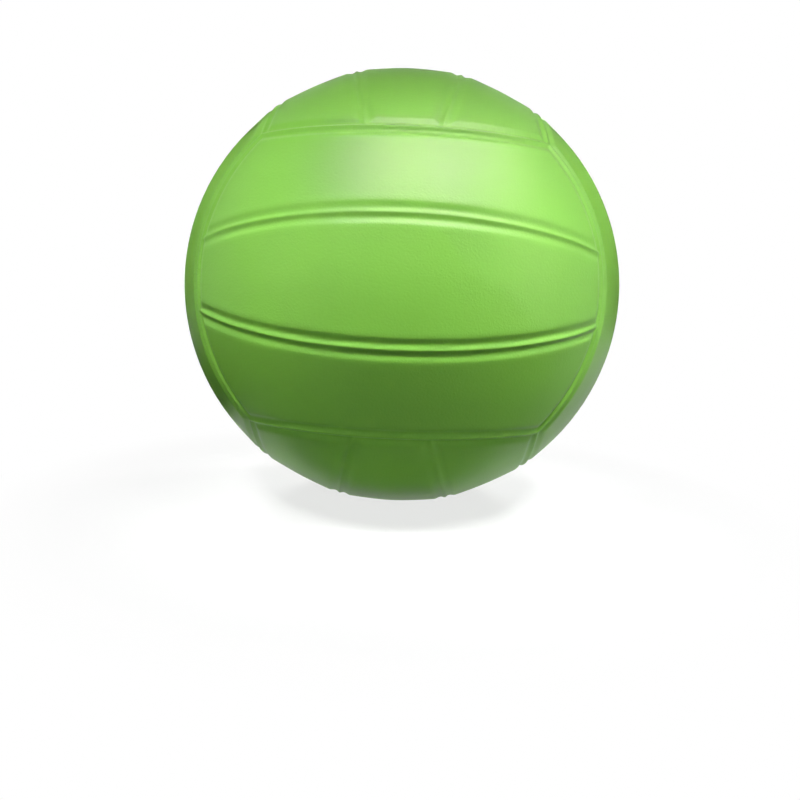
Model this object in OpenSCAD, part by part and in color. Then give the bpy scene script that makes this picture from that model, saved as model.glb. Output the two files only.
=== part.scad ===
// Mini volleyball: one moulded vinyl skin with eighteen panels in relief, and a needle valve in its back.
// The origin is the centre of the ball, +Z is up and the valve lies on the +Y axis.
// Each of six faces has three strips. The strips of one face end against the long sides of the next.

/* [Ball] */
// Outer diameter of the ball over its panels
ball_d = 150; // [110:1:220]
// Thickness of the skin at a panel
wall = 2.2; // [1.8:0.1:4]

/* [Seams] */
// Tilt of the two seams inside a face from the face's middle plane, in degrees
strip_tilt = 14; // [10:0.5:18]
// Width of a seam channel between the panel edges
channel_w = 6.8; // [5:0.1:9]
// Width of the channel's floor, both sides of the rib
floor_w = 4; // [3:0.1:4.8]
// Depth of the channel below the panels
channel_depth = 0.7; // [0.4:0.05:1.2]
// Width of the rib at the channel's floor
rib_foot = 2.4; // [1.2:0.1:2.8]
// Width of the rib's crest
rib_crest = 0.5; // [0.3:0.1:1]
// Depth of the rib's crest below the panels
rib_drop = 0.1; // [0.05:0.05:0.3]
// Gap at the floor where a rib stops short of the rib that it runs up to
rib_stop = 0.2; // [0.1:0.1:0.6]

/* [Valve housing] */
// Diameter of the collar that shows in the skin
collar_d = 12; // [10.5:0.1:18]
// Diameter of the flange that is bonded inside the skin
flange_d = 26; // [18:0.5:40]
// Thickness of the flange
flange_t = 1.8; // [1:0.1:4]
// Diameter of the neck inside the ball
neck_d = 11.2; // [9.6:0.1:16]
// Depth of the neck's inner end below the ball's surface
neck_depth = 20; // [14:0.5:32]
// Depth of the valve's outer face below the ball's surface
valve_sink = 0.3; // [0.2:0.1:0.8]
// Gap between the housing and the skin, filled by the bond
bond_gap = 0.03; // [0.01:0.01:0.1]

/* [Valve core] */
// Diameter of the core's head
core_head_d = 8.6; // [7.6:0.1:9.4]
// Thickness of the core's head
core_head_t = 1.6; // [1:0.1:2.5]
// Diameter of the core's stem under the head
core_d = 7; // [5.8:0.1:7.2]
// How much narrower the stem is at the neck's inner end
core_taper = 1; // [0.2:0.1:1.6]
// Length of the closed lips below the neck
lip_len = 4; // [2:0.5:8]
// Thickness of the lips at their tip
lip_tip = 1.6; // [0.8:0.1:3]
// Clearance between the core and the housing
core_gap = 0.05; // [0.02:0.01:0.1]
// Diameter of the passage for the inflating needle
needle_d = 2; // [1.4:0.1:2.6]
// Depth of the needle passage below the core's face
needle_depth = 16; // [8:0.5:18]
// Diameter of the funnel at the passage's mouth
funnel_d = 3.8; // [2.8:0.1:5]
// Depth of the funnel
funnel_depth = 1; // [0.5:0.1:2]

/* [Hidden] */
$fn = 160;

ball_r = ball_d / 2;
floor_r = ball_r - channel_depth;
inner_r = ball_r - wall;
face_r = ball_r - valve_sink;
// Diameter of the core's stem at the neck's inner end
core_tip_d = core_d - core_taper;
// Raised relief is sunk this far into the skin below it
sunk = 0.25;
// Cutting shapes reach this far past what they cut
past = 2;
// Polar angle of the circle that a face's strips end on, through the cube corners
end_polar = acos(1 / sqrt(3));
// Half the sweep of a seam inside a face, from its middle to the circle that ends it
seam_sweep = acos(1 / (sqrt(3) * cos(strip_tilt)));
// Half the sweep of an end seam, from its middle to a corner
end_sweep = 45;
// Turns that bring a face from +Z, with its strips along X, to its place
FACE_TURNS = [[90, 0, 0], [-90, 0, 0], [0, 0, 90], [180, 0, 90], [0, -90, 0], [0, 90, 0]];
TO_BACK = [-90, 0, 0];

// Point of a section through the axis, at a radius and a polar angle
function polar_point(radius, angle) = [radius * sin(angle), radius * cos(angle)];
// Angle that a length spans on a circle
function span(length, radius) = length / radius * 180 / PI;

// Everything within a polar angle of +Z, with its edge set back by the channel wall's slope.
// A side of 1 sets the edge back towards +Z and a side of -1 away from it.
module cap(polar, side) {
    slope = (channel_w - floor_w) / 2 / channel_depth;
    low = floor_r - past;
    high = ball_r + past;
    low_back = floor_w / 2 - slope * past;
    high_back = channel_w / 2 + slope * past;
    edge_low = polar_point(low, polar - side * span(low_back, low));
    edge_high = polar_point(high, polar - side * span(high_back, high));
    rotate_extrude()
        polygon([[0, 0], edge_low, edge_high, [edge_high.x, high + past], [0, high + past]]);
}

// Layer that the panels are cut from, sunk into the skin below it
module relief_layer() {
    difference() {
        sphere(ball_r);
        sphere(floor_r - sunk);
    }
}

module middle_panel() {
    intersection() {
        relief_layer();
        cap(end_polar, 1);
        rotate([90 - strip_tilt, 0, 0]) cap(90, 1);
        rotate([strip_tilt - 90, 0, 0]) cap(90, 1);
    }
}

module outer_panel() {
    difference() {
        intersection() {
            relief_layer();
            cap(end_polar, 1);
            rotate([-90 - strip_tilt, 0, 0]) cap(90, 1);
        }
        rotate([-90, 0, 0]) cap(end_polar, -1);
    }
}

// A rib along a circle about +Z, over a sweep either side of an azimuth
module rib(polar, azimuth, sweep) {
    foot_r = floor_r - sunk;
    crest_r = ball_r - rib_drop;
    foot = span(rib_foot / 2, foot_r);
    crest = span(rib_crest / 2, crest_r);
    rotate([0, 0, azimuth - sweep])
        rotate_extrude(angle = 2 * sweep)
            polygon([
                polar_point(foot_r, polar - foot),
                polar_point(foot_r, polar + foot),
                polar_point(crest_r, polar + crest),
                polar_point(crest_r, polar - crest)
            ]);
}

// Three panels of a face, its two inner ribs and the two ribs that its strips end on
module face() {
    rib_end = rib_foot / 2 + rib_stop;
    middle_panel();
    for (turn = [0, 180]) rotate([0, 0, turn]) {
        outer_panel();
        rotate([90 - strip_tilt, 0, 0]) rib(90, 90, seam_sweep - span(rib_end, ball_r));
        rib(end_polar, 0, end_sweep - span(rib_end, ball_r * sin(end_polar)));
    }
}

module skin() {
    color("yellowgreen") difference() {
        union() {
            sphere(floor_r);
            for (turn = FACE_TURNS) rotate(turn) face();
        }
        sphere(inner_r);
        rotate(TO_BACK) cylinder(d = collar_d + 2 * bond_gap, h = ball_r + past);
    }
}

// Bore of the housing, in which the core sits: a counterbore for its head and a taper for its stem
module core_space(gap) {
    head_z = face_r - core_head_t;
    tip_z = ball_r - neck_depth;
    translate([0, 0, head_z - gap]) cylinder(d = core_head_d + 2 * gap, h = core_head_t + past);
    translate([0, 0, tip_z])
        cylinder(d1 = core_tip_d + 2 * gap, d2 = core_d + 2 * gap, h = head_z - tip_z);
}

module valve_housing() {
    seat_r = inner_r - bond_gap;
    neck_z = ball_r - neck_depth;
    color("ivory") rotate(TO_BACK) difference() {
        union() {
            intersection() {
                sphere(face_r);
                translate([0, 0, inner_r - flange_t]) cylinder(d = collar_d, h = wall + flange_t);
            }
            difference() {
                intersection() {
                    sphere(seat_r);
                    cylinder(d = flange_d, h = ball_r);
                }
                sphere(seat_r - flange_t);
            }
            translate([0, 0, neck_z]) cylinder(d = neck_d, h = inner_r - flange_t / 2 - neck_z);
        }
        core_space(core_gap);
        translate([0, 0, neck_z - past]) cylinder(d = core_tip_d + 2 * core_gap, h = 2 * past);
    }
}

module valve_core() {
    tip_z = ball_r - neck_depth;
    lip_angle = atan((core_tip_d - lip_tip) / 2 / lip_len);
    color("dimgray") rotate(TO_BACK) difference() {
        intersection() {
            sphere(face_r);
            union() {
                core_space(0);
                translate([0, 0, tip_z - lip_len]) cylinder(d = core_tip_d, h = lip_len + past);
            }
        }
        for (turn = [0, 180]) rotate([0, 0, turn])
            translate([0, lip_tip / 2, tip_z - lip_len]) rotate([-lip_angle, 0, 0])
                translate([-core_tip_d, 0, -core_tip_d])
                    cube([2 * core_tip_d, core_tip_d, lip_len / cos(lip_angle) + core_tip_d]);
        translate([0, 0, face_r - needle_depth]) cylinder(d = needle_d, h = needle_depth + past);
        translate([0, 0, face_r - funnel_depth])
            cylinder(d1 = needle_d, d2 = funnel_d, h = funnel_depth);
    }
}

skin();
valve_housing();
valve_core();
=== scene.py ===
from math import acos, asin, cos, pi, radians, sin, sqrt

import bmesh
import bpy
from mathutils import Euler, Matrix, Vector


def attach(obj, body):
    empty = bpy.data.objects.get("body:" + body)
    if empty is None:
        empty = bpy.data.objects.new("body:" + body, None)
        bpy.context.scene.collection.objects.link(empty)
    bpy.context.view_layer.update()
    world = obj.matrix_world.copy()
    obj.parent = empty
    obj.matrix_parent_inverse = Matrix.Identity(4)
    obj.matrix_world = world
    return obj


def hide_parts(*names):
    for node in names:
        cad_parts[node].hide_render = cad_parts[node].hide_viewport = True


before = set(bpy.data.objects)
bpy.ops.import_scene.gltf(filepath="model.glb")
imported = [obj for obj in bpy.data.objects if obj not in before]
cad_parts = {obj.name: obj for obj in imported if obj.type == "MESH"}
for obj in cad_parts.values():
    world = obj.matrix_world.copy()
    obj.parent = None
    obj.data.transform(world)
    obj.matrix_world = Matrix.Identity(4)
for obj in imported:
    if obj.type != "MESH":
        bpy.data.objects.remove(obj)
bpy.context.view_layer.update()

# Skin
# The ball itself: one hollow piece of soft vinyl, rotationally moulded in one colour.
# Its eighteen panels are relief in the mould, with a thin rib along the middle of every seam.
# Inflation draws the seams out a little, so each panel lies flatter than a true sphere.
MM = 0.001
PANEL_R = 75 * MM
WALL = 2.2 * MM
STRIP_TILT = radians(14)
END_POLAR = acos(1 / sqrt(3))
EDGE_ABOVE = pi / 2 - END_POLAR
# A seam is a channel with a flat floor as far as the wall's foot, and a rib on the middle of the floor.
# The seams that end a face's strips are deeper, with a higher rib, than the two inside the face.
CHANNEL_HALF = 3.7 * MM
WALL_FOOT = 1.3 * MM
RIB_HALF = 1.3 * MM
CHANNEL_DEPTH = 0.6 * MM
RIB_HEIGHT = 0.33 * MM
END_CHANNEL_DEPTH = 0.8 * MM
END_RIB_HEIGHT = 0.62 * MM
SEAM_BULGE = 0.7 * MM
BULGE_REACH = 13 * MM
# Distances from a seam at which the mesh has a line, from the rib's crest out onto the panel
SEAM_LINES = [step * MM for step in (0, 0.2, 0.45, 0.8, 1.2, 1.6, 2.1, 2.6, 3.1, 3.6, 4.6)]
MIDDLE_ROWS = 14
OUTER_ROWS = 10
# Turns that bring a face from +Z, with its strips along X, to its place on the ball
BACK = (-90, 0, 0)
FACE_TURNS = [(90, 0, 0), BACK, (0, 0, 90), (180, 0, 90), (0, -90, 0), (0, 90, 0)]


def lerp(a, b, share):
    return a + (b - a) * share


def turn_matrix(degrees):
    return Euler([radians(d) for d in degrees], "XYZ").to_matrix().to_4x4()


def face_rows():
    """Tilt and offset of the planes whose circles are the mesh lines along a face's strips."""
    off = [sin(line / PANEL_R) for line in SEAM_LINES]
    edge = [sin(EDGE_ABOVE - line / PANEL_R) for line in SEAM_LINES]
    shares = [2 * k / MIDDLE_ROWS for k in range(MIDDLE_ROWS // 2)]
    half = [(STRIP_TILT * s, -off[-1] * s) for s in shares]
    half += [(STRIP_TILT, -o) for o in reversed(off)]
    half += [(STRIP_TILT, o) for o in off[1:]]
    shares = [k / OUTER_ROWS for k in range(1, OUTER_ROWS)]
    half += [(lerp(STRIP_TILT, 0, s), lerp(off[-1], edge[-1], s)) for s in shares]
    half += [(0, e) for e in reversed(edge)]
    return [(-tilt, -c) for tilt, c in reversed(half[1:])] + half


def row_angle(row, z):
    """Angle along a row, from its middle, at which it comes down to a height over the ball's centre."""
    tilt, c = row
    return acos((z + c * sin(tilt)) / (sqrt(1 - c * c) * cos(tilt)))


def row_point(row, angle):
    tilt, c = row
    rho = sqrt(1 - c * c)
    up = rho * cos(angle)
    return Vector((rho * sin(angle), c * cos(tilt) + up * sin(tilt), up * cos(tilt) - c * sin(tilt)))


def column_angles(rows):
    """Angle of every mesh line across the strips, for each row.

    On a face's long sides the lines meet those of the next face. Elsewhere the outermost
    lines keep their distance from the seam that ends the strips.
    """
    last = len(rows) - 1
    lines = len(SEAM_LINES) - 1
    ends = [(c + sin(tilt) / sqrt(3)) / cos(tilt) for tilt, c in rows]
    meets = [asin(e / sqrt(2 / 3)) for e in ends]
    heights = [cos(END_POLAR - line / PANEL_R) for line in SEAM_LINES]
    angles = [meets]
    for row in rows[1:-1]:
        outer = [row_angle(row, z) for z in heights]
        inner = [outer[-1] * meets[i] / meets[last - lines] for i in range(lines + 1, last - lines)]
        angles.append([-a for a in outer] + inner + outer[::-1])
    return angles + [meets]


def hump(share):
    """Height of a smooth hump, which is 1 up to a share of 0 and 0 from a share of 1."""
    return cos(pi / 2 * max(0, min(1, share))) ** 2


def relief_radius(p):
    """Distance of the surface from the ball's centre, in a direction within the face at +Z."""
    ends = [acos(p.z) - END_POLAR, abs(asin(p.y)) - EDGE_ABOVE]
    tilted = [asin(p.y * cos(STRIP_TILT) + side * p.z * sin(STRIP_TILT)) for side in (-1, 1)]
    seams = [(abs(a) * PANEL_R, END_CHANNEL_DEPTH, END_RIB_HEIGHT) for a in ends]
    seams += [(abs(a) * PANEL_R, CHANNEL_DEPTH, RIB_HEIGHT) for a in tilted]
    flat = 1
    for away, depth, height in seams:
        flat *= 1 - max(0, 1 - away / BULGE_REACH) ** 2
    bulge = SEAM_BULGE * (1 - flat)
    wall = CHANNEL_HALF - WALL_FOOT
    channel = max(depth * hump((away - WALL_FOOT) / wall) for away, depth, height in seams)
    rib = max(height * hump(away / RIB_HALF) for away, depth, height in seams)
    return PANEL_R + bulge - channel + rib


def new_object(name, bm):
    mesh = bpy.data.meshes.new(name)
    bm.to_mesh(mesh)
    bm.free()
    mesh.shade_smooth()
    obj = bpy.data.objects.new(name, mesh)
    bpy.context.collection.objects.link(obj)
    return obj


def verts_of(geom):
    return [g for g in geom if isinstance(g, bmesh.types.BMVert)]


def ring_in(bm, edges, radius, height):
    """Extrudes a loop about +Y to a new radius and height, and returns the new loop's edges."""
    made = bmesh.ops.extrude_edge_only(bm, edges=edges)["geom"]
    for v in verts_of(made):
        out = Vector((v.co.x, 0, v.co.z)).normalized() * radius
        v.co = Vector((out.x, height, out.z))
    return [g for g in made if isinstance(g, bmesh.types.BMEdge) and g.is_boundary]


# The valve's hole takes the collar of the housing, with the bond around it
COLLAR_R = 6 * MM
BOND = 0.03 * MM
HOLE_R = COLLAR_R + BOND
HOLE_ROUND = 0.35 * MM
# Cells of the face's mesh that are cut away for the hole, each way from the middle
HOLE_COLUMNS = 6
HOLE_ROWS = 4
INNER_R = PANEL_R - WALL
INNER_RINGS = 24
ROUND_STEPS = 3
# Points of neighbouring faces that lie this close are one
MERGE = 0.01 * MM

rows = face_rows()
columns = column_angles(rows)
count = len(rows) - 1
bm = bmesh.new()
bmesh.ops.create_grid(bm, x_segments=count, y_segments=count, size=count / 2)
valve_faces = []
for f in bm.faces:
    middle = f.calc_center_median()
    if abs(middle.x) < HOLE_COLUMNS and abs(middle.y) < HOLE_ROWS:
        valve_faces.append(f)
for v in bm.verts:
    i, j = (round(c + count / 2) for c in v.co.xy)
    p = row_point(rows[j], columns[j][i])
    v.co = p * relief_radius(p)
one_face = bm.verts[:] + bm.edges[:] + bm.faces[:]
for turn in FACE_TURNS:
    if turn != BACK:
        copy = bmesh.ops.duplicate(bm, geom=one_face)["geom"]
        bmesh.ops.transform(bm, matrix=turn_matrix(turn), verts=verts_of(copy))
bmesh.ops.transform(bm, matrix=turn_matrix(BACK), verts=verts_of(one_face))
bmesh.ops.delete(bm, geom=valve_faces, context="FACES")
bmesh.ops.remove_doubles(bm, verts=bm.verts[:], dist=MERGE)
loop = [e for e in bm.edges if e.is_boundary]
for radius in (HOLE_R + 2 * HOLE_ROUND, HOLE_R + HOLE_ROUND):
    loop = ring_in(bm, loop, radius, sqrt(PANEL_R ** 2 - radius ** 2))
rim = sqrt(PANEL_R ** 2 - HOLE_R ** 2)
for k in range(1, ROUND_STEPS + 1):
    angle = pi / 2 * k / ROUND_STEPS
    radius = HOLE_R + HOLE_ROUND * (1 - sin(angle))
    loop = ring_in(bm, loop, radius, rim - HOLE_ROUND * (1 - cos(angle)))
hole_angle = asin(HOLE_R / INNER_R)
for k in range(INNER_RINGS):
    angle = lerp(hole_angle, pi, k / INNER_RINGS)
    loop = ring_in(bm, loop, INNER_R * sin(angle), INNER_R * cos(angle))
bmesh.ops.edgeloop_fill(bm, edges=loop)
bmesh.ops.recalc_face_normals(bm, faces=bm.faces[:])
skin = new_object("ball_skin", bm)


def linear(hex_colour):
    """Linear colour of an sRGB hex value."""
    parts = [int(hex_colour[k:k + 2], 16) / 255 for k in (1, 3, 5)]
    return tuple(c / 12.92 if c <= 0.04045 else ((c + 0.055) / 1.055) ** 2.4 for c in parts) + (1,)


def node(tree, kind, settings=None, links=None):
    """Adds a node, with its settings and its input links by socket name or number."""
    made = tree.nodes.new(kind)
    for name, value in (settings or {}).items():
        if isinstance(name, int) or name in made.inputs:
            made.inputs[name].default_value = value
        else:
            setattr(made, name, value)
    for name, output in (links or {}).items():
        tree.links.new(output, made.inputs[name])
    return made


def new_material(name):
    material = bpy.data.materials.new(name)
    material.use_nodes = True
    tree = material.node_tree
    tree.nodes.clear()
    return material, tree


# Moulded soft vinyl: a satin skin from a finely blasted mould. It gives a broad soft highlight,
# a very slight mottle in colour and gloss, and here and there a pinhole from a bubble, whose
# darkness is painted shade: a darker spot in the colour, not a hole in the surface.
GREEN = "#8dd050"
GREEN_DEEP = "#87cb4b"
# Painted shade: a darker green for each pinhole, standing in for the shade inside the tiny hole
PINHOLE_SHADE = "#4c7a2c"
MOTTLE = 35 * MM
SHEEN = 5 * MM
# The real grain is finer than the picture can show, so it is drawn this coarse
GRAIN = 0.6 * MM
GRAIN_HEIGHT = 0.08 * MM
# One cell in five has a pinhole, and a pinhole's radius is this share of a cell
PINHOLE_CELL = 14 * MM
PINHOLE_R = 0.022
EMPTY_CELLS = 0.8
vinyl, tree = new_material("moulded_green_vinyl")
place = node(tree, "ShaderNodeTexCoord").outputs["Object"]
mottle = node(tree, "ShaderNodeTexNoise", {"Scale": 1 / MOTTLE, "Detail": 3}, {"Vector": place})
tint = node(tree, "ShaderNodeMix", {"data_type": "RGBA", 6: linear(GREEN_DEEP), 7: linear(GREEN)},
            {0: mottle.outputs["Fac"]})
cells = node(tree, "ShaderNodeTexVoronoi", {"Scale": 1 / PINHOLE_CELL}, {"Vector": place})
spot = node(tree, "ShaderNodeMath", {"operation": "LESS_THAN", 1: PINHOLE_R},
            {0: cells.outputs["Distance"]})
pick = node(tree, "ShaderNodeSeparateColor", links={0: cells.outputs["Color"]})
rare = node(tree, "ShaderNodeMath", {"operation": "GREATER_THAN", 1: EMPTY_CELLS}, {0: pick.outputs[0]})
# Painted shade: where each pinhole's darker colour goes, in place of the shade of a real hole
pinhole_shade = node(tree, "ShaderNodeMath", {"operation": "MULTIPLY"},
            {0: spot.outputs[0], 1: rare.outputs[0]})
colour = node(tree, "ShaderNodeMix", {"data_type": "RGBA", 7: linear(PINHOLE_SHADE)},
              {0: pinhole_shade.outputs[0], 6: tint.outputs[2]})
sheen = node(tree, "ShaderNodeTexNoise", {"Scale": 1 / SHEEN, "Detail": 4}, {"Vector": place})
rough = node(tree, "ShaderNodeMapRange", {"To Min": 0.40, "To Max": 0.46},
             {"Value": sheen.outputs["Fac"]})
grain = node(tree, "ShaderNodeTexNoise", {"Scale": 1 / GRAIN, "Detail": 2}, {"Vector": place})
bump = node(tree, "ShaderNodeBump", {"Strength": 0.7, "Distance": GRAIN_HEIGHT},
            {"Height": grain.outputs["Fac"]})
shader = node(tree, "ShaderNodeBsdfPrincipled", {"IOR": 1.53, "Specular IOR Level": 0.3},
              {"Base Color": colour.outputs[2], "Roughness": rough.outputs[0], "Normal": bump.outputs[0]})
node(tree, "ShaderNodeOutputMaterial", links={"Surface": shader.outputs[0]})
skin.data.materials.append(vinyl)
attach(skin, "ball")
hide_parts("skin")

# Valve housing
# A bush of natural vinyl, bonded into the skin: a collar that shows outside, a curved flange
# against the inside of the skin, and a neck that grips the core. Injection moulded.
FLANGE_R = 13 * MM
FLANGE = 1.8 * MM
NECK_R = 5.6 * MM
NECK_DEPTH = 20 * MM
NECK_END = PANEL_R - NECK_DEPTH
VALVE_SINK = 0.3 * MM
VALVE_FACE = PANEL_R - VALVE_SINK
SEAT_R = INNER_R - BOND
HEAD_R = 4.3 * MM
HEAD = 1.6 * MM
STEM_R = 3.5 * MM
TIP_R = 3 * MM
CORE_GAP = 0.05 * MM
HOUSING_ROUND = 0.2 * MM
LATHE_STEPS = 64
# Points on the axis that the spin leaves this close are one
AXIS_MERGE = 0.001 * MM
# Edges that turn by more than this are rounded
SHARP = radians(30)


def on_sphere(sphere, radius):
    return (radius, sqrt(sphere ** 2 - radius ** 2))


def lathe(points, rounding):
    """A closed shape of revolution about +Y, from radius and height pairs, with its sharp edges rounded."""
    bm = bmesh.new()
    verts = [bm.verts.new((radius, height, 0)) for radius, height in points]
    edges = [bm.edges.new(pair) for pair in zip(verts, verts[1:])]
    bmesh.ops.spin(bm, geom=verts + edges, axis=(0, 1, 0), cent=(0, 0, 0), angle=2 * pi,
                   steps=LATHE_STEPS, use_merge=True)
    bmesh.ops.remove_doubles(bm, verts=bm.verts[:], dist=AXIS_MERGE)
    bmesh.ops.recalc_face_normals(bm, faces=bm.faces[:])
    sharp = [e for e in bm.edges if e.is_manifold and e.calc_face_angle() > SHARP]
    bmesh.ops.bevel(bm, geom=sharp, affect="EDGES", offset=rounding, segments=ROUND_STEPS,
                    profile=0.5, material=-1)
    return bm


bore_head = HEAD_R + CORE_GAP
bore_stem = STEM_R + CORE_GAP
bore_tip = TIP_R + CORE_GAP
head_under = VALVE_FACE - HEAD - CORE_GAP
housing = new_object("valve_housing_bush", lathe([
    (bore_tip, NECK_END), (bore_stem, head_under), (bore_head, head_under),
    on_sphere(VALVE_FACE, bore_head), on_sphere(VALVE_FACE, COLLAR_R), on_sphere(SEAT_R, COLLAR_R),
    on_sphere(SEAT_R, (COLLAR_R + FLANGE_R) / 2), on_sphere(SEAT_R, FLANGE_R),
    on_sphere(SEAT_R - FLANGE, FLANGE_R), on_sphere(SEAT_R - FLANGE, (NECK_R + FLANGE_R) / 2),
    on_sphere(SEAT_R - FLANGE, NECK_R), (NECK_R, NECK_END), (bore_tip, NECK_END),
], HOUSING_ROUND))

# Natural vinyl: unpigmented, milky and a little yellow, satin from the mould.
NATURAL = "#d6d4bd"
NATURAL_DARK = "#c9c6ac"
CLOUD = 3 * MM
natural, tree = new_material("natural_vinyl")
place = node(tree, "ShaderNodeTexCoord").outputs["Object"]
cloud = node(tree, "ShaderNodeTexNoise", {"Scale": 1 / CLOUD, "Detail": 3}, {"Vector": place})
tint = node(tree, "ShaderNodeMix", {"data_type": "RGBA", 6: linear(NATURAL_DARK), 7: linear(NATURAL)},
            {0: cloud.outputs["Fac"]})
rough = node(tree, "ShaderNodeMapRange", {"To Min": 0.42, "To Max": 0.52}, {"Value": cloud.outputs["Fac"]})
shader = node(tree, "ShaderNodeBsdfPrincipled", {"IOR": 1.53},
              {"Base Color": tint.outputs[2], "Roughness": rough.outputs[0]})
node(tree, "ShaderNodeOutputMaterial", links={"Surface": shader.outputs[0]})
housing.data.materials.append(natural)
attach(housing, "ball")
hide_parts("valve_housing")

# Valve core
# A plug of black rubber, pushed into the housing from outside and held by its taper.
# A needle goes in at the funnel in its head and opens the flat lips at its inner end.
NEEDLE_R = 1 * MM
NEEDLE_DEPTH = 16 * MM
FUNNEL_R = 1.9 * MM
FUNNEL = 1 * MM
LIP = 4 * MM
# Thickness of the lips at their tip, as a share of the stem's
LIP_TIP = 0.27
CORE_ROUND = 0.15 * MM
tip = NECK_END - LIP
bm = lathe([
    (0, VALVE_FACE - NEEDLE_DEPTH), (NEEDLE_R, VALVE_FACE - NEEDLE_DEPTH), (NEEDLE_R, VALVE_FACE - FUNNEL),
    on_sphere(VALVE_FACE, FUNNEL_R), on_sphere(VALVE_FACE, HEAD_R), (HEAD_R, VALVE_FACE - HEAD),
    (STEM_R, VALVE_FACE - HEAD), (TIP_R, NECK_END), (TIP_R, tip), (0, tip),
], CORE_ROUND)
for v in bm.verts:
    below = NECK_END - v.co.y
    if below > 0:
        v.co.z *= lerp(1, LIP_TIP, min(1, below / LIP))
core = new_object("valve_core_plug", bm)

# Black rubber: carbon filled and cured in a steel mould, dull with a faint bloom on it.
RUBBER = "#1c1c1d"
BLOOM = "#2b2b2c"
BLOOM_PATCH = 1.5 * MM
rubber, tree = new_material("black_rubber")
place = node(tree, "ShaderNodeTexCoord").outputs["Object"]
bloom = node(tree, "ShaderNodeTexNoise", {"Scale": 1 / BLOOM_PATCH, "Detail": 4}, {"Vector": place})
tint = node(tree, "ShaderNodeMix", {"data_type": "RGBA", 6: linear(RUBBER), 7: linear(BLOOM)},
            {0: bloom.outputs["Fac"]})
rough = node(tree, "ShaderNodeMapRange", {"To Min": 0.55, "To Max": 0.7}, {"Value": bloom.outputs["Fac"]})
shader = node(tree, "ShaderNodeBsdfPrincipled", {"IOR": 1.52},
              {"Base Color": tint.outputs[2], "Roughness": rough.outputs[0]})
node(tree, "ShaderNodeOutputMaterial", links={"Surface": shader.outputs[0]})
core.data.materials.append(rubber)
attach(core, "valve_core")
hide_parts("valve_core")

# Floor and studio
# A white paper floor that runs out into a white surround. Lamps with grids light the ball, soft
# boxes make its highlights, and black cards keep its edges and lower panels from turning pale.
FLOOR_R = 4.0
FLOOR_SIDES = 64
# The paper glows white where it is seen, and less so near the ball, where the shadow shows
FADE_FROM = 0.08
FADE_TO = 0.16
GLOW_AT_BALL = 0.75
WHITE = "#ffffff"
PAPER = "#f9f9f9"
# Paper as light on its way to the ball meets it, darker so that little of it comes back up
PAPER_BOUNCE = "#767676"


def seen_rays(tree):
    """Output that is 1 for the rays that show a surface: to the camera, in gloss and through glass."""
    ray = node(tree, "ShaderNodeLightPath")
    seen = node(tree, "ShaderNodeMath", {"operation": "MAXIMUM"},
                {0: ray.outputs["Is Camera Ray"], 1: ray.outputs["Is Glossy Ray"]})
    seen = node(tree, "ShaderNodeMath", {"operation": "MAXIMUM"},
                {0: seen.outputs[0], 1: ray.outputs["Is Transmission Ray"]})
    return seen.outputs[0]


bm = bmesh.new()
bmesh.ops.create_circle(bm, cap_ends=True, segments=FLOOR_SIDES, radius=FLOOR_R)
bmesh.ops.translate(bm, verts=bm.verts[:], vec=(0, 0, -PANEL_R))
floor = new_object("floor", bm)
paper, tree = new_material("white_paper")
seen = seen_rays(tree)
place = node(tree, "ShaderNodeTexCoord").outputs["Object"]
reach = node(tree, "ShaderNodeVectorMath", {"operation": "LENGTH"}, {0: place})
fade = node(tree, "ShaderNodeMapRange",
            {"interpolation_type": "SMOOTHSTEP", "From Min": FADE_FROM, "From Max": FADE_TO,
             "To Min": GLOW_AT_BALL, "To Max": 1.0}, {"Value": reach.outputs["Value"]})
share = node(tree, "ShaderNodeMath", {"operation": "MULTIPLY"}, {0: seen, 1: fade.outputs[0]})
shade = node(tree, "ShaderNodeMix", {"data_type": "RGBA", 6: linear(PAPER_BOUNCE), 7: linear(PAPER)},
             {0: seen})
matte = node(tree, "ShaderNodeBsdfDiffuse", links={"Color": shade.outputs[2]})
white = node(tree, "ShaderNodeEmission", {"Color": linear(WHITE), "Strength": 1.0})
mix = node(tree, "ShaderNodeMixShader",
           links={0: share.outputs[0], 1: matte.outputs[0], 2: white.outputs[0]})
node(tree, "ShaderNodeOutputMaterial", links={"Surface": mix.outputs[0]})
floor.data.materials.append(paper)

# The surround is white as it is seen, up to a ceiling that turns dark between two elevations.
# What it adds to the light on the ball is weak.
AMBIENT = 0.03
CEILING = 0.05
CEILING_FROM = radians(25)
CEILING_TO = radians(50)
world = bpy.data.worlds.new("surround")
bpy.context.scene.world = world
world.use_nodes = True
tree = world.node_tree
tree.nodes.clear()
seen = seen_rays(tree)
up = node(tree, "ShaderNodeSeparateXYZ", links={0: node(tree, "ShaderNodeTexCoord").outputs["Generated"]})
sides = node(tree, "ShaderNodeMapRange",
             {"interpolation_type": "SMOOTHSTEP", "From Min": sin(CEILING_FROM),
              "From Max": sin(CEILING_TO), "To Min": 1.0, "To Max": CEILING}, {"Value": up.outputs["Z"]})
level = node(tree, "ShaderNodeMapRange", {"To Min": AMBIENT},
             {"Value": seen, "To Max": sides.outputs[0]})
glow = node(tree, "ShaderNodeBackground", {"Color": linear(WHITE)}, {"Strength": level.outputs[0]})
node(tree, "ShaderNodeOutputWorld", links={"Surface": glow.outputs[0]})

LAMP_DISTANCE = 0.5


def aim_lamp(obj, target):
    obj.rotation_euler = (Vector(target) - obj.location).to_track_quat("-Z", "Y").to_euler()


def soft_box(name, azimuth, elevation, width, height, power):
    """An area lamp aimed at the ball, with its azimuth to the right of the camera's side."""
    lamp = bpy.data.lights.new(name, "AREA")
    lamp.shape = "RECTANGLE"
    lamp.size = width
    lamp.size_y = height
    lamp.energy = power
    obj = bpy.data.objects.new(name, lamp)
    a, e = radians(azimuth), radians(elevation)
    obj.location = Vector((sin(a) * cos(e), -cos(a) * cos(e), sin(e))) * LAMP_DISTANCE
    aim_lamp(obj, (0, 0, 0))
    bpy.context.collection.objects.link(obj)
    return obj


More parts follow.
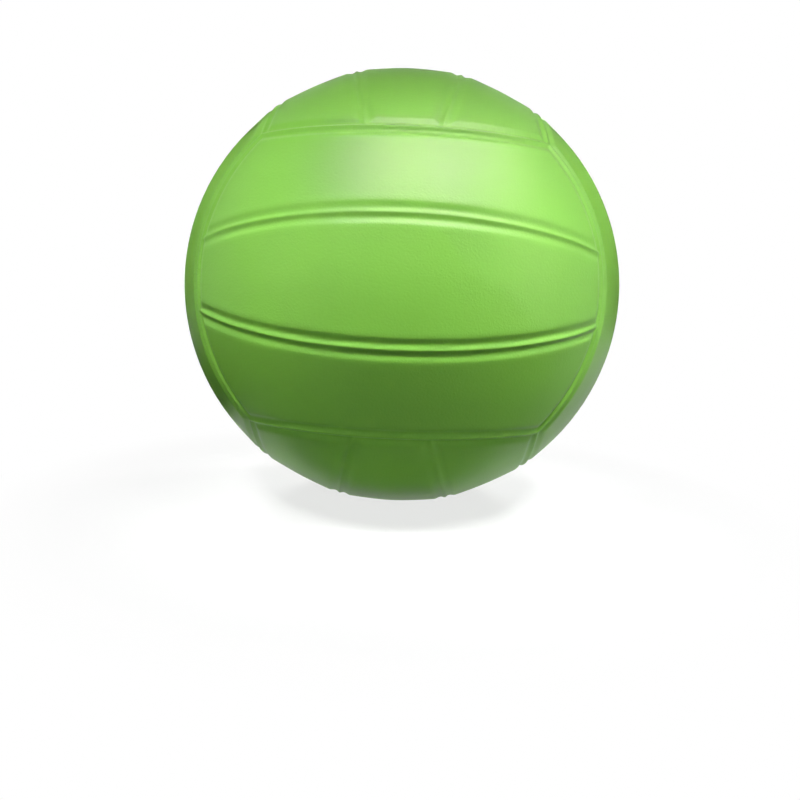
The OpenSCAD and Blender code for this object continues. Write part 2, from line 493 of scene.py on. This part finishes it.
# Lamps with grids, which narrow their beams, light the ball itself and stay out of its gloss. Two weak
# ones, level with the ball, bring out the seams at the sides and below. Each has its azimuth and
# elevation in degrees, its power in watts and the point that it is aimed at.
LAMP = 0.12
GRID = radians(23)
for name, azimuth, elevation, power, target in (
        ("front_right", 36, 49, 0.090, (0.058, -0.062, -0.026)),
        ("front_left", -34, 49, 0.070, (-0.034, -0.062, -0.026)),
        ("low_right", 26, 2, 0.011, (0.040, -0.040, -0.096)),
        ("low_left", -26, 2, 0.010, (-0.042, -0.040, -0.096)),
        ("back_right", 141, 36, 0.056, (0.038, 0.058, -0.012)),
        ("back_left", -141, 36, 0.056, (-0.038, 0.058, -0.012))):
    lamp = soft_box(name, azimuth, elevation, LAMP, LAMP, power)
    lamp.data.spread = GRID
    lamp.visible_glossy = False
    aim_lamp(lamp, target)

# Warm soft boxes that show only in the gloss: a wide one above, and weaker ones at the sides.
# Each has its azimuth and elevation in degrees, its width and height, and its power in watts.
WARM = "#ffe9e4"
for name, azimuth, elevation, width, height, power in (
        ("highlight_top", 4, 54, 0.32, 0.17, 4.0), ("highlight_right", 60, 50, 0.25, 0.25, 2.0),
        ("side_right", 62, 10, 0.25, 0.25, 0.7), ("side_left", -48, 10, 0.25, 0.25, 0.35)):
    lamp = soft_box(name, azimuth, elevation, width, height, power)
    lamp.data.color = linear(WARM)[:3]
    lamp.visible_diffuse = False

# Black cards that only the ball's gloss sees: two stand behind it, for its edges, and two lie on
# the floor, for its lower panels. Each has half its width and depth, its turn and its place.
BLACK = "#1a1a1a"
CARD_LIFT = 0.5 * MM
ON_FLOOR = -PANEL_R + CARD_LIFT
CARDS = (("card_left", (0.2, 0.2), (90, 0, 45), (-0.33, 0.33, 0.13)),
         ("card_right", (0.2, 0.2), (90, 0, -45), (0.33, 0.33, 0.13)),
         ("card_front", (0.25, 0.135), (0, 0, 0), (0, -0.165, ON_FLOOR)),
         ("card_beside", (0.13, 0.15), (0, 0, 0), (-0.22, 0.11, ON_FLOOR)))
black, tree = new_material("black_card")
matte = node(tree, "ShaderNodeBsdfDiffuse", {"Color": linear(BLACK)})
node(tree, "ShaderNodeOutputMaterial", links={"Surface": matte.outputs[0]})
for name, (half_x, half_y), turn, at in CARDS:
    bm = bmesh.new()
    bmesh.ops.create_grid(bm, x_segments=1, y_segments=1, size=1)
    bmesh.ops.scale(bm, verts=bm.verts[:], vec=(half_x, half_y, 1))
    bmesh.ops.transform(bm, matrix=Matrix.Translation(at) @ turn_matrix(turn), verts=bm.verts[:])
    card = new_object(name, bm)
    card.data.materials.append(black)
    card.visible_camera = False
    card.visible_shadow = False
    card.visible_diffuse = False

# Camera
# Level with the ball and close to it, with a slight roll, placed by the seams in the photograph.
# The shift brings the ball to its place above the middle of the picture.
CAMERA_DISTANCE = 270 * MM
PITCH, ROLL, YAW = -0.68, 2.28, -1.19
FOCAL_PX = 747.5
PICTURE_PX = 800
BALL_AT_PX = (401.8, 284.1)
SENSOR = 36.0
CLIP_START = 10 * MM
camera_data = bpy.data.cameras.new("camera")
camera_data.sensor_width = SENSOR
camera_data.lens = FOCAL_PX / PICTURE_PX * SENSOR
camera_data.shift_x = -(BALL_AT_PX[0] / PICTURE_PX - 0.5)
camera_data.shift_y = BALL_AT_PX[1] / PICTURE_PX - 0.5
camera_data.clip_start = CLIP_START
camera = bpy.data.objects.new("camera", camera_data)
ball_turn = turn_matrix((PITCH, ROLL, YAW))
facing = Matrix.Translation((0, -CAMERA_DISTANCE, 0)) @ Matrix.Rotation(pi / 2, 4, "X")
camera.matrix_world = ball_turn.inverted() @ facing
bpy.context.collection.objects.link(camera)
bpy.context.scene.camera = camera
bpy.context.scene.view_settings.view_transform = "Standard"
